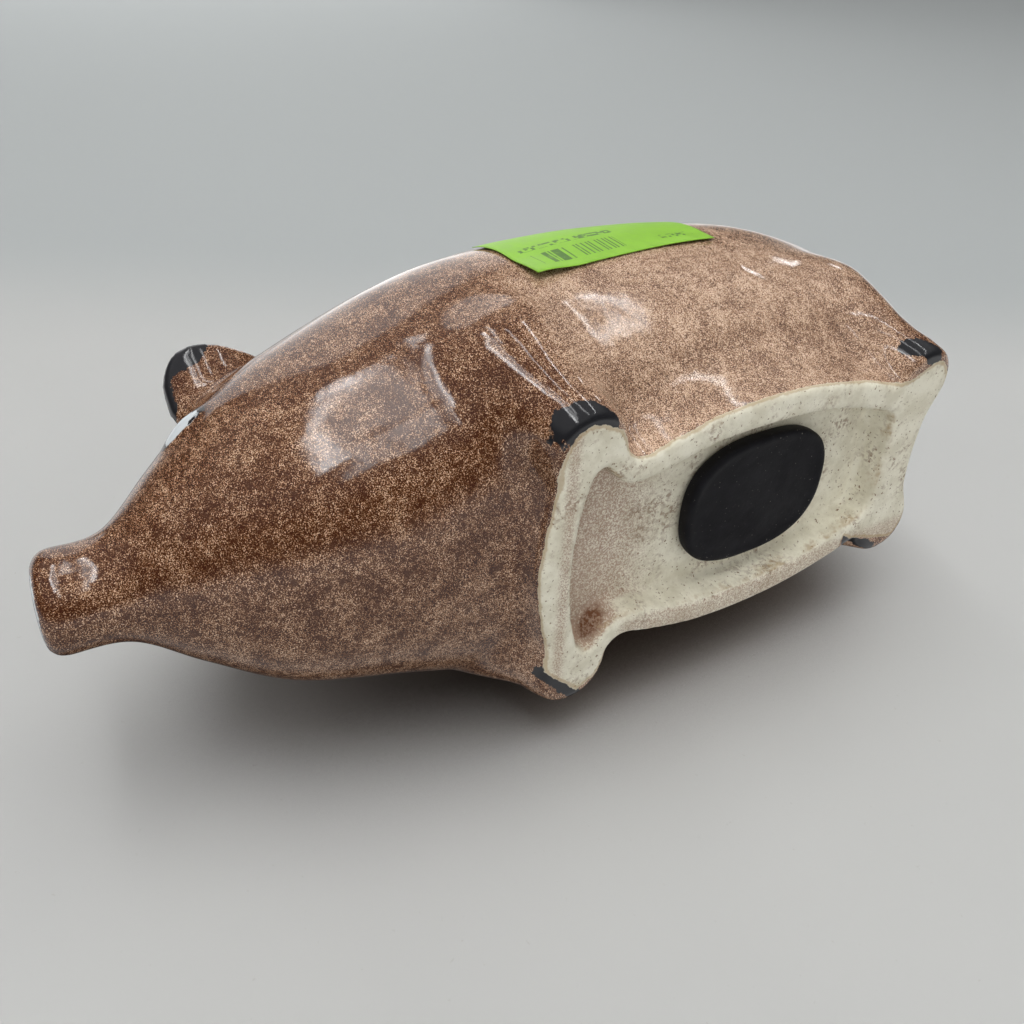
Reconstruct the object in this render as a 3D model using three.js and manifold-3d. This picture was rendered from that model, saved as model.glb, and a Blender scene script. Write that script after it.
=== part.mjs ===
// A pig-shaped ceramic coin bank, standing on its foot ring.
// Millimetres, +Z up, snout towards -Y, the pig's left side towards +X, z = 0 under the feet.
import * as THREE from 'three';
import { mergeVertices } from 'three/addons/utils/BufferGeometryUtils.js';
import Module from 'manifold-3d';

const wasm = await Module();
wasm.setup();

// ---- driving dimensions -------------------------------------------------------------------

const SNOUT_Y = -114; // front face of the snout
const WALL = 4.5; // thickness of the cast wall
const GAP = 0.3; // clearance between neighbouring members
const BELLY_Z = 8; // flat underside of the belly inside the foot ring

const SLOT = { y: 24, length: 36, width: 5 }; // coin slot along the spine
const STOPPER = { y: 44.5, halfLength: 22, halfWidth: 17.5, faceZ: 3.6, topZ: 17 };
const HOLE = { halfLength: 18.5, halfWidth: 14 }; // emptying hole in the belly
// On the left flank; its lower edge climbs from frontLowZ to rearLowZ.
const LABEL = { fromY: 0, toY: 57, frontLowZ: 40, rearLowZ: 47, rise: 30, lift: 0.45, thickness: 0.3 };
const EAR = { x: 21.5, y: -65, z: 78, length: 12, height: 13.6, thickness: 3.4, splay: 0.42 };
// One curl of clay lying on the rump: it turns by the given angle while its radius shrinks.
const TAIL = { y: 102, z: 79, radius: 8.5, thickness: 2.6, slope: 0.75, turn: 1.75 * Math.PI, shrink: 0.35 };
const OVAL_SQUARENESS = 2.6; // outline of the stopper and its hole
const SNOUT_DISC = { z: 43, radius: 11.2, thickness: 1.4, nostrilX: 4.2, nostrilRadius: 2 };

// Cross-sections of the body: y, half width, top z, bottom z, squareness of the lower half.
const STATIONS = [
  [-122, 11.4, 54.4, 31.6, 2],
  [-112.4, 11.4, 54.4, 31.6, 2],
  [-100, 12.4, 55, 30, 2],
  [-87, 22, 65, 22.4, 2.1],
  [-70, 33.4, 78.6, 14.4, 2.3],
  [-46, 41.6, 89.6, 9.6, 2.4],
  [-16, 49.6, 97, BELLY_Z, 2.9],
  [16, 51.5, 98.6, BELLY_Z, 3],
  [48, 49.6, 98.2, BELLY_Z, 3],
  [76, 45.4, 94.8, BELLY_Z, 2.9],
  [96, 37.8, 85.2, 9.4, 2.6],
  [108, 28, 73.6, 13, 2.3],
  [113.2, 17, 61, 26, 2],
  [114, 0, 44, 44, 2],
  [113.2, -17, 26, 61, 2]
];
const FIRST = 1; // the first and last stations only steer the curve
const LAST = STATIONS.length - 2;
const UPPER_SQUARENESS = 2;

// Left half of the foot ring, from the middle of the front bar round to the middle of the rear bar.
const RING_OUTER = [
  [0, -20.5], [13, -19], [24, -16.8], [33, -15.5], [36.5, -10.5], [33.5, -4], [27.5, -0.5],
  [25, 4], [27, 12], [30, 26], [30.8, 42], [29.5, 58], [26, 74], [22.8, 84], [25, 90.5],
  [26, 96], [20, 99], [10, 96.6], [0, 95.8]
];
const RING_INNER = [
  [0, -11.5], [12, -11], [19.5, -9], [21.5, -5.5], [18.6, 0], [19, 8], [22.4, 24], [23.2, 40],
  [22.2, 56], [19.6, 69], [16.6, 78], [14.5, 83], [7, 84], [0, 84]
];

const HOOVES = [
  { name: 'front', x: 31, y: -9.5, radius: 7.2, height: 14 },
  { name: 'rear', x: 23, y: 92, radius: 6.6, height: 14 }
];

// ---- solids from meshes ---------------------------------------------------------------------

function solid(geometry) {
  const bare = geometry.clone();
  bare.deleteAttribute('normal');
  bare.deleteAttribute('uv');
  const merged = mergeVertices(bare, 1e-4);
  return new wasm.Manifold(new wasm.Mesh({
    numProp: 3,
    vertProperties: new Float32Array(merged.attributes.position.array),
    triVerts: new Uint32Array(merged.index.array)
  }));
}

function geometryOf(manifold) {
  const mesh = manifold.getMesh();
  const geometry = new THREE.BufferGeometry();
  geometry.setAttribute('position', new THREE.BufferAttribute(mesh.vertProperties, 3));
  geometry.setIndex(new THREE.BufferAttribute(mesh.triVerts, 1));
  geometry.computeVertexNormals();
  return geometry;
}

// ---- the body's surface ---------------------------------------------------------------------

function catmullRom(a, b, c, d, t) {
  const slopeB = (c - a) / 2;
  const slopeC = (d - b) / 2;
  return b + t * (slopeB + t * (3 * (c - b) - 2 * slopeB - slopeC + t * (2 * (b - c) + slopeB + slopeC)));
}

// The cross-section at station number s, which may be a fraction.
function section(s) {
  const i = Math.max(FIRST, Math.min(Math.floor(s), LAST - 1));
  const values = STATIONS[i].map((_, k) => catmullRom(
    STATIONS[i - 1][k], STATIONS[i][k], STATIONS[i + 1][k], STATIONS[i + 2][k], s - i
  ));
  const [y, halfWidth, top, bottom, lowerSquareness] = values;
  return { y, halfWidth, top, bottom, lowerSquareness };
}

// A point of the surface: angle 0 is the pig's left, a quarter turn is the spine.
function surfacePoint(s, angle) {
  const { y, halfWidth, top, bottom, lowerSquareness } = section(s);
  const cos = Math.cos(angle);
  const sin = Math.sin(angle);
  const power = 2 / (sin > 0 ? UPPER_SQUARENESS : lowerSquareness);
  const x = halfWidth * Math.sign(cos) * Math.abs(cos) ** power;
  const z = (top + bottom) / 2 + (top - bottom) / 2 * Math.sign(sin) * Math.abs(sin) ** power;
  return new THREE.Vector3(x, y, z);
}

// The same point moved outwards along the surface's normal.
function offsetPoint(s, angle, offset) {
  const step = 0.01;
  const safe = Math.min(s, LAST - step);
  const along = surfacePoint(safe + step, angle).sub(surfacePoint(safe - step, angle));
  const around = surfacePoint(safe, angle + step).sub(surfacePoint(safe, angle - step));
  return surfacePoint(s, angle).addScaledVector(along.cross(around).normalize(), offset);
}

// Closes rings of points, each running round the body, into one solid.
function loft(rings) {
  const count = rings[0].length;
  const centre = (ring) => ring.reduce((sum, p) => sum.add(p), new THREE.Vector3()).divideScalar(count);
  const points = [...rings.flat(), centre(rings[0]), centre(rings[rings.length - 1])];
  const front = points.length - 2;
  const back = points.length - 1;
  const faces = [];
  for (let j = 0; j < count; j++) {
    const k = (j + 1) % count;
    faces.push(front, j, k);
    for (let i = 0; i < rings.length - 1; i++) {
      const a = i * count;
      const b = a + count;
      faces.push(a + j, b + j, b + k, a + j, b + k, a + k);
    }
    const end = (rings.length - 1) * count;
    faces.push(back, end + k, end + j);
  }
  const geometry = new THREE.BufferGeometry();
  const values = points.flatMap((p) => p.toArray());
  geometry.setAttribute('position', new THREE.Float32BufferAttribute(values, 3));
  geometry.setIndex(faces);
  return solid(geometry);
}

function bodySolid(offset, from, around, alongSteps) {
  const end = LAST - 0.04;
  const rings = [];
  for (let i = 0; i <= alongSteps; i++) {
    const s = from + (end - from) * i / alongSteps;
    const ring = [];
    for (let j = 0; j < around; j++) ring.push(offsetPoint(s, 2 * Math.PI * j / around, offset));
    rings.push(ring);
  }
  return loft(rings);
}

// ---- simple solids --------------------------------------------------------------------------

// A closed outline from its left half, mirrored and smoothed.
function mirroredShape(half, points) {
  const right = half.slice(1, -1).reverse().map(([x, y]) => [-x, y]);
  const loop = [...half, ...right].map(([x, y]) => new THREE.Vector3(x, y, 0));
  const curve = new THREE.CatmullRomCurve3(loop, true, 'centripetal');
  return new THREE.Shape(curve.getPoints(points).slice(0, -1).map((p) => new THREE.Vector2(p.x, p.y)));
}

function oval(halfWidth, halfLength, y, points) {
  const corners = [];
  for (let i = 0; i < points; i++) {
    const angle = 2 * Math.PI * i / points;
    const power = 2 / OVAL_SQUARENESS;
    corners.push(new THREE.Vector2(
      halfWidth * Math.sign(Math.cos(angle)) * Math.abs(Math.cos(angle)) ** power,
      y + halfLength * Math.sign(Math.sin(angle)) * Math.abs(Math.sin(angle)) ** power
    ));
  }
  return new THREE.Shape(corners);
}

function prism(shape, fromZ, toZ) {
  const geometry = new THREE.ExtrudeGeometry(shape, { depth: toZ - fromZ, bevelEnabled: false });
  return solid(geometry.translate(0, 0, fromZ));
}

function box(sizeX, sizeY, sizeZ, x, y, z) {
  return solid(new THREE.BoxGeometry(sizeX, sizeY, sizeZ).translate(x, y, z));
}

// ---- the ceramic ----------------------------------------------------------------------------

const outerSkin = bodySolid(0, FIRST, 44, 38);
const clearanceSkin = bodySolid(GAP, FIRST, 44, 38);

function bodyShell() {
  const cavity = bodySolid(-WALL, FIRST + 1, 30, 24);
  const slot = box(SLOT.width, SLOT.length, 30, 0, SLOT.y, 98);
  const hole = prism(oval(HOLE.halfWidth, HOLE.halfLength, STOPPER.y, 32), 0, 3 * BELLY_Z);
  return outerSkin.subtract(cavity).subtract(slot).subtract(hole);
}

function hoofPost({ x, y, radius, height }, side, extra) {
  const profile = [[0, 0], [0.88, 0], [1, 0.2], [1.03, 0.6], [1.03, 1], [0, 1]];
  const points = profile.map(([r, z]) => new THREE.Vector2(r ? r * radius + extra : 0, z * height));
  const geometry = new THREE.LatheGeometry(points, 18);
  geometry.rotateX(Math.PI / 2);
  return solid(geometry.translate(side * x, y, 0));
}

function footRing() {
  let ring = prism(mirroredShape(RING_OUTER, 76), 0, 2 * BELLY_Z);
  ring = ring.subtract(prism(mirroredShape(RING_INNER, 60), -1, 3 * BELLY_Z));
  for (const hoof of HOOVES) {
    for (const side of [1, -1]) {
      const grown = hoofPost({ ...hoof, height: hoof.height + 2 }, side, GAP);
      ring = ring.subtract(grown.add(grown.translate([0, 0, -1])));
    }
  }
  return ring.subtract(clearanceSkin);
}

function hoofCap(hoof, side) {
  return hoofPost(hoof, side, 0).subtract(clearanceSkin);
}

function ear(side) {
  const leaf = new THREE.SphereGeometry(1, 20, 14);
  leaf.scale(EAR.thickness, EAR.length, EAR.height);
  leaf.rotateY(EAR.splay);
  const placed = solid(leaf.translate(EAR.x, EAR.y, EAR.z));
  const left = placed.subtract(clearanceSkin);
  return side > 0 ? left : left.mirror([1, 0, 0]);
}

function tail() {
  const points = [];
  const steps = 14;
  for (let i = 0; i <= steps; i++) {
    const t = i / steps;
    const angle = -Math.PI / 2 + TAIL.turn * t;
    const radius = TAIL.radius * (1 - TAIL.shrink * t);
    const rise = 0.6 + 1.8 * t;
    const down = radius * Math.sin(angle);
    points.push(new THREE.Vector3(
      radius * Math.cos(angle),
      TAIL.y + rise * TAIL.slope + down * TAIL.slope,
      TAIL.z + rise - down
    ));
  }
  const ring = new THREE.Shape();
  ring.absarc(0, 0, TAIL.thickness, 0, 2 * Math.PI);
  const path = new THREE.CatmullRomCurve3(points);
  const geometry = new THREE.ExtrudeGeometry(ring, { extrudePath: path, steps: 26, curveSegments: 5 });
  return solid(geometry).subtract(clearanceSkin);
}

function snoutDisc() {
  const { z, radius, thickness, nostrilX, nostrilRadius } = SNOUT_DISC;
  const edge = 0.7;
  const profile = [
    [0, 0], [radius, 0], [radius, thickness - edge], [radius - edge, thickness], [0, thickness]
  ];
  const disc = solid(new THREE.LatheGeometry(profile.map(([r, h]) => new THREE.Vector2(r, h)), 32)
    .rotateX(Math.PI).translate(0, SNOUT_Y + thickness, z));
  const nostril = (side) => solid(new THREE.CylinderGeometry(nostrilRadius, nostrilRadius, 1.4, 12)
    .translate(side * nostrilX, SNOUT_Y, z));
  return disc.subtract(nostril(1)).subtract(nostril(-1));
}

// ---- rubber and paper -------------------------------------------------------------------------

function stopper() {
  const { y, halfLength, halfWidth, faceZ, topZ } = STOPPER;
  const flangeTop = BELLY_Z - GAP;
  const flange = prism(oval(halfWidth, halfLength, y, 36), faceZ, flangeTop);
  const neck = oval(HOLE.halfWidth - GAP, HOLE.halfLength - GAP, y, 32);
  const plug = prism(neck, flangeTop - 1, topZ);
  return flange.add(plug);
}

// The station number whose cross-section lies at y.
function stationAt(y) {
  let low = FIRST;
  let high = LAST;
  for (let i = 0; i < 24; i++) {
    const middle = (low + high) / 2;
    if (section(middle).y < y) low = middle;
    else high = middle;
  }
  return low;
}

// The angle of the left flank's point at height z.
function angleAt(s, z) {
  const { top, bottom, lowerSquareness } = section(s);
  const rise = (2 * z - top - bottom) / (top - bottom);
  const squareness = rise > 0 ? UPPER_SQUARENESS : lowerSquareness;
  return Math.sign(rise) * Math.asin(Math.abs(rise) ** (squareness / 2));
}

// A patch of the flank, lifted off the surface and given the label's thickness.
function priceLabel() {
  const across = 6;
  const along = 12;
  const { fromY, toY, frontLowZ, rearLowZ, rise, lift: gap, thickness } = LABEL;
  const layer = (lift) => {
    const points = [];
    for (let i = 0; i <= along; i++) {
      const s = stationAt(THREE.MathUtils.lerp(fromY, toY, i / along));
      const low = THREE.MathUtils.lerp(frontLowZ, rearLowZ, i / along);
      for (let j = 0; j <= across; j++) {
        const angle = angleAt(s, low + rise * j / across);
        points.push(offsetPoint(s, angle, lift));
      }
    }
    return points;
  };
  const bottom = layer(gap);
  const top = layer(gap + thickness);
  const row = across + 1;
  const lift = bottom.length;
  const faces = [];
  const quad = (a, b, c, d) => faces.push(a, b, c, a, c, d);
  for (let i = 0; i < along; i++) {
    for (let j = 0; j < across; j++) {
      const a = i * row + j;
      quad(a, a + 1, a + row + 1, a + row);
      quad(lift + a, lift + a + row, lift + a + row + 1, lift + a + 1);
    }
  }
  for (let i = 0; i < along; i++) {
    const a = i * row;
    const b = a + across;
    quad(a, a + row, lift + a + row, lift + a);
    quad(b, lift + b, lift + b + row, b + row);
  }
  for (let j = 0; j < across; j++) {
    const b = along * row + j;
    quad(j, lift + j, lift + j + 1, j + 1);
    quad(b, b + 1, lift + b + 1, lift + b);
  }
  const geometry = new THREE.BufferGeometry();
  geometry.setAttribute('position',
    new THREE.Float32BufferAttribute([...bottom, ...top].flatMap((p) => p.toArray()), 3));
  geometry.setIndex(faces);
  return solid(geometry);
}

// ---- materials and assembly -------------------------------------------------------------------

function material(color, roughness) {
  return new THREE.MeshStandardMaterial({ color, roughness, metalness: 0 });
}

const SPECKLED_GLAZE = material(0x8a6a58, 0.15);
const BLACK_GLAZE = material(0x0c0c0e, 0.15);
const WHITE_GLAZE = material(0xc9d2d6, 0.15);
const BARE_CERAMIC = material(0xc4c2ae, 0.75);
const RUBBER = material(0x17181a, 0.7);
const PAPER = material(0x86e01e, 0.5);

const bank = new THREE.Group();

function add(name, manifold, look) {
  const mesh = new THREE.Mesh(geometryOf(manifold), look);
  mesh.name = name;
  bank.add(mesh);
}

add('body_shell', bodyShell(), SPECKLED_GLAZE);
add('foot_ring', footRing(), BARE_CERAMIC);
for (const hoof of HOOVES) {
  add(`${hoof.name}_left_hoof`, hoofCap(hoof, 1), BLACK_GLAZE);
  add(`${hoof.name}_right_hoof`, hoofCap(hoof, -1), BLACK_GLAZE);
}
add('left_ear', ear(1), SPECKLED_GLAZE);
add('right_ear', ear(-1), SPECKLED_GLAZE);
add('tail', tail(), SPECKLED_GLAZE);
add('snout_disc', snoutDisc(), WHITE_GLAZE);
add('stopper', stopper(), RUBBER);
add('price_label', priceLabel(), PAPER);

export default bank;
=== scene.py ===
import math

import bpy
import numpy as np
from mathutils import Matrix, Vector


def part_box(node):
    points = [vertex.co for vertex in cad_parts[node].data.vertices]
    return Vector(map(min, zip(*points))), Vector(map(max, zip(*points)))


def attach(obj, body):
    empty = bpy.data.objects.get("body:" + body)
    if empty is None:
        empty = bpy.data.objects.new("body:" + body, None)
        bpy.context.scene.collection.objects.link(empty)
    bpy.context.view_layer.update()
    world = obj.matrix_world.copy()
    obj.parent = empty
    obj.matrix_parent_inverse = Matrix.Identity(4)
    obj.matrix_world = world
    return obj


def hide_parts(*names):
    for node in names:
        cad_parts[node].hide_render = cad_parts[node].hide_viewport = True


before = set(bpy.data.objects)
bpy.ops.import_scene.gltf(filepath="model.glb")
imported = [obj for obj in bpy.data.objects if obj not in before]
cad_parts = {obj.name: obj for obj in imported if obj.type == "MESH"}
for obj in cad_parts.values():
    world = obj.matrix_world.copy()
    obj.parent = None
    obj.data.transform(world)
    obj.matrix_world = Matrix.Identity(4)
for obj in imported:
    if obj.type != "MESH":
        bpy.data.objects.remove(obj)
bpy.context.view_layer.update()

import openvdb
from mathutils import Matrix, Vector

# A glazed pottery pig that is a coin bank. Lengths are in millimetres until a mesh is made.
# The snout points along -Y, the pig's left side is +X and it stands on z = 0.

MM = 0.001
VOXEL = 1.0
BAND = 12

# y, half width, top z, bottom z, squareness of the lower half. The first row lies past the snout's
# face, which cuts the body off, and the last row only steers.
STATIONS = np.array([
    [-122, 11.4, 54.4, 31.6, 2],
    [-112.4, 11.4, 54.4, 31.6, 2],
    [-100, 12.4, 55, 30, 2],
    [-87, 22, 65, 22.4, 2.1],
    [-70, 33.4, 78.6, 14.4, 2.3],
    [-46, 41.6, 89.6, 9.6, 2.4],
    [-16, 49.6, 97, 8, 2.9],
    [16, 51.5, 98.6, 8, 3],
    [48, 49.6, 98.2, 8, 3],
    [76, 45.4, 94.8, 8, 2.9],
    [96, 37.8, 85.2, 9.4, 2.6],
    [108, 28, 73.6, 13, 2.3],
    [113.2, 17, 61, 26, 2],
    [114, 0, 44, 44, 2],
    [113.2, -17, 26, 61, 2],
], float)
SNOUT_END = 0
RUMP_END = len(STATIONS) - 2
UPPER_SQUARENESS = 2.0
WALL = 4.5

# The left half of each outline under the feet, front to rear.
RING_OUTER = [(0, -20.5), (13, -19), (24, -16.8), (33, -15.5), (36.5, -10.5), (33.5, -4),
              (27.5, -0.5), (25, 4), (27, 12), (30, 26), (30.8, 42), (29.5, 58), (26, 74),
              (22.8, 84), (25, 90.5), (26, 96), (20, 99), (10, 96.6), (0, 95.8)]
RING_INNER = [(0, -11.7), (12, -11), (19, -9.6), (24, -8), (25.4, -5.8), (22, -3), (18.8, 1), (19, 8),
              (22.4, 24), (23.2, 40), (22.2, 56), (19.6, 69), (16.6, 78), (14.5, 83),
              (7, 84), (0, 84)]
BELLY_Z = 8.0
SLOT_Y, SLOT_LENGTH, SLOT_WIDTH = 24.0, 36.0, 5.0
# The lengths and widths of the stopper's face and of its hole are halves.
STOPPER_Y, FACE_LENGTH, FACE_WIDTH = 44.5, 22.0, 17.5
FACE_Z, PLUG_TOP = 3.6, 17.0
HOLE_LENGTH, HOLE_WIDTH = 18.5, 14.0
NOSTRIL_X, NOSTRIL_Z = 4.2, 43.6


# ---- curves and distances -----------------------------------------------------------------------

def catmull_rom(rows, t):
    """Rows interpolated at the station numbers t."""
    last = len(rows) - 1
    i = np.clip(np.floor(t).astype(int), 0, last - 1)
    u = (t - i)[..., None]
    p0, p1 = rows[np.maximum(i - 1, 0)], rows[i]
    p2, p3 = rows[i + 1], rows[np.minimum(i + 2, last)]
    return 0.5 * (2 * p1 + (p2 - p0) * u + (2 * p0 - 5 * p1 + 4 * p2 - p3) * u**2
                  + (3 * p1 - p0 - 3 * p2 + p3) * u**3)


def flank_point(station, angle):
    """A point of the body's surface. Angle 0 is the left flank and 90 degrees is the back."""
    row = catmull_rom(STATIONS, station)
    y, wide, top, bottom, lower = np.moveaxis(row, -1, 0)
    c, s = np.cos(angle), np.sin(angle)
    power = 2 / np.where(s > 0, UPPER_SQUARENESS, lower)
    x = wide * np.sign(c) * np.abs(c)**power
    z = (top + bottom) / 2 + (top - bottom) / 2 * np.sign(s) * np.abs(s)**power
    return np.stack([x, y + 0 * x, z], -1)


def smooth_min(a, b, k):
    h = np.maximum(k - np.abs(a - b), 0)
    return np.minimum(a, b) - h * h / (4 * k)


def smooth_max(a, b, k):
    return -smooth_min(-a, -b, k)


def smoothstep(low, high, x):
    t = np.clip((x - low) / (high - low), 0, 1)
    return t * t * (3 - 2 * t)


def closed_curve(points, steps=6):
    """A smooth closed curve through points, with spacing that follows their distances."""
    p = np.asarray(points, float)
    out = []
    for i in range(len(p)):
        a, b, c, d = p[i - 1], p[i], p[(i + 1) % len(p)], p[(i + 2) % len(p)]
        ta = np.linalg.norm(b - a)**0.5
        tb = ta + np.linalg.norm(c - b)**0.5
        tc = tb + np.linalg.norm(d - c)**0.5
        for t in np.linspace(ta, tb, steps, endpoint=False):
            ab = a * (ta - t) / ta + b * t / ta
            bc = b * (tb - t) / (tb - ta) + c * (t - ta) / (tb - ta)
            cd = c * (tc - t) / (tc - tb) + d * (t - tb) / (tc - tb)
            abc = ab * (tb - t) / tb + bc * t / tb
            bcd = bc * (tc - t) / (tc - ta) + cd * (t - ta) / (tc - ta)
            out.append(abc * (tb - t) / (tb - ta) + bcd * (t - ta) / (tb - ta))
    return np.array(out)


def both_sides(half):
    return half + [(-x, y) for x, y in reversed(half[1:-1])]


def polygon_distance(polygon, x, y):
    """Signed distance to a closed polygon, negative inside."""
    nearest = np.full(np.broadcast(x, y).shape, 1e9)
    inside = np.zeros(nearest.shape, bool)
    for a, b in zip(polygon, np.roll(polygon, -1, 0)):
        ex, ey = b - a
        wx, wy = x - a[0], y - a[1]
        t = np.clip((wx * ex + wy * ey) / (ex * ex + ey * ey + 1e-12), 0, 1)
        nearest = np.minimum(nearest, (wx - ex * t)**2 + (wy - ey * t)**2)
        crosses = (a[1] > y) != (b[1] > y)
        with np.errstate(divide="ignore", invalid="ignore"):
            inside ^= crosses & (wx < ex * wy / (ey if ey else 1e-12))
    return np.where(inside, -1, 1) * np.sqrt(nearest)


def prism(flat, low, high, rounding, z):
    """Signed distance to a flat shape's prism with rounded edges."""
    a = flat + rounding
    b = np.abs(z - (low + high) / 2) - (high - low) / 2 + rounding
    return np.minimum(np.maximum(a, b), 0) + np.hypot(np.maximum(a, 0), np.maximum(b, 0)) - rounding


def cone(x, y, z, a, b, ra, rb):
    """Signed distance to a round-ended cone from a to b."""
    ax = np.subtract(b, a)
    t = np.clip(((x - a[0]) * ax[0] + (y - a[1]) * ax[1] + (z - a[2]) * ax[2]) / (ax @ ax), 0, 1)
    away = np.sqrt((x - a[0] - t * ax[0])**2 + (y - a[1] - t * ax[1])**2
                   + (z - a[2] - t * ax[2])**2)
    return away - ra - (rb - ra) * t


def ellipsoid(x, y, z, centre, radii):
    px, py, pz = (x - centre[0]) / radii[0], (y - centre[1]) / radii[1], (z - centre[2]) / radii[2]
    return (np.sqrt(px * px + py * py + pz * pz) - 1) * min(radii)


def patch(x, y, z, centre, axes, radii):
    """An ellipsoid with the given unit axes, positive inside."""
    total = 0
    for axis, radius in zip(axes, radii):
        total = total + (((x - centre[0]) * axis[0] + (y - centre[1]) * axis[1]
                          + (z - centre[2]) * axis[2]) / radius)**2
    return (1 - np.sqrt(total)) * min(radii)


def oval(half_width, half_length, y, squareness=2.6, steps=72):
    t = np.linspace(0, 2 * np.pi, steps, endpoint=False)
    c, s = np.cos(t), np.sin(t)
    return np.stack([half_width * np.sign(c) * np.abs(c)**(2 / squareness),
                     y + half_length * np.sign(s) * np.abs(s)**(2 / squareness)], 1)


# ---- the pottery --------------------------------------------------------------------------------

EAR_BASE = np.array([21.5, -65.0, 77.0])
EAR_OUTLINE = [(11, -6), (11.8, 0), (10.6, 6.2), (7.2, 10.8), (2.6, 12.2), (-3, 11.6), (-9, 10.4),
               (-15, 9.6), (-21, 9.8), (-23, -6)]
EAR_SPLAY = 0.42
EYE = (25.0, -77.7, 55.0)
EYE_PAINT = (25.6, -78.2, 53.6)
EYE_AXES = ((0.664, -0.556, 0.498), (0.642, 0.767, 0), (-0.382, 0.320, 0.866))
LEG_FRONT = ((31, -10, 2), (36, -14, 28), 7.5, 13)
LEG_REAR = ((23, 92, 2), (29, 84, 30), 7, 13)
HOOF_FRONT = ((32.6, -10, 6.5), (8.2, 9.0, 9.0))
HOOF_REAR = ((23.4, 92, 6), (7.6, 8.2, 9))
CREASES = [[(36, -8, 14), (42, -9.3, 18), (47.2, -7.6, 25)],
           [(48, 56, 32), (40.4, 67, 19), (27.4, 87, 12.6)]]


def body_loft():
    around, along = 200, 150
    station = np.linspace(SNOUT_END, RUMP_END - 0.004, along)[:, None]
    angle = np.linspace(0, 2 * np.pi, around, endpoint=False)[None, :]
    points = flank_point(station + 0 * angle, angle + 0 * station).reshape(-1, 3)
    i = np.arange(along - 1)[:, None] * around
    j = np.arange(around)[None, :]
    k = (j + 1) % around
    quads = np.stack([i + j, i + k, i + around + k, i + around + j], -1).reshape(-1, 4)
    last = (along - 1) * around
    caps = np.array([[len(points), (n + 1) % around, n] for n in range(around)]
                    + [[len(points) + 1, last + n, last + (n + 1) % around] for n in range(around)])
    ends = points.reshape(along, around, 3)[[0, -1]].mean(1)
    return np.concatenate([points, ends]), quads, caps


def ear_frame(x, y, z):
    """Coordinates in the left ear: forward, up, and outward from its middle plane."""
    up = np.array([math.sin(EAR_SPLAY), 0, math.cos(EAR_SPLAY)])
    out = np.array([math.cos(EAR_SPLAY), 0, -math.sin(EAR_SPLAY)])
    dx, dy, dz = x - EAR_BASE[0], y - EAR_BASE[1], z - EAR_BASE[2]
    return -dy, dx * up[0] + dz * up[2], dx * out[0] + dz * out[2]


def ear(x, y, z):
    forward, up, out = ear_frame(x, y, z)
    cup = out + 0.030 * (forward - 1)**2 - 1.8
    flat = polygon_distance(closed_curve(EAR_OUTLINE, 4), forward, up)
    return prism(flat, -1.9, 1.9, 1.7, cup)


def crease_depth(x, y, z):
    depth = 0
    for line in CREASES:
        for a, b in zip(line, line[1:]):
            away = cone(x, y, z, a, b, 0, 0)
            depth = np.maximum(depth, np.exp(-(away / 1.5)**2))
    return depth


def tail(x, y, z):
    distance = np.full(x.shape, 1e3)
    points = []
    for t in np.linspace(0, 1, 22):
        angle = -np.pi / 2 + 1.75 * np.pi * t
        radius = 8.5 * (1 - 0.35 * t)
        rise = 0.6 + 1.8 * t
        down = radius * math.sin(angle)
        points.append((radius * math.cos(angle), 102 + (rise + down) * 0.75, 79 + rise - down))
    widths = np.linspace(3.0, 1.9, len(points))
    for i in range(len(points) - 1):
        distance = np.minimum(distance, cone(x, y, z, points[i], points[i + 1],
                                             widths[i], widths[i + 1]))
    return distance


def ripple(x, y, z):
    """The small unevenness of a slip-cast surface."""
    return 0.7 * (0.16 * np.sin(x * 0.13 + 1.3 * np.sin(y * 0.05)) * np.sin(y * 0.11 + 0.7)
            + 0.12 * np.sin(z * 0.16 + x * 0.07) * np.cos(y * 0.074 - 0.4)
            + 0.05 * np.sin(y * 0.31 + z * 0.22) * np.sin(x * 0.27 + 2.0))


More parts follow.
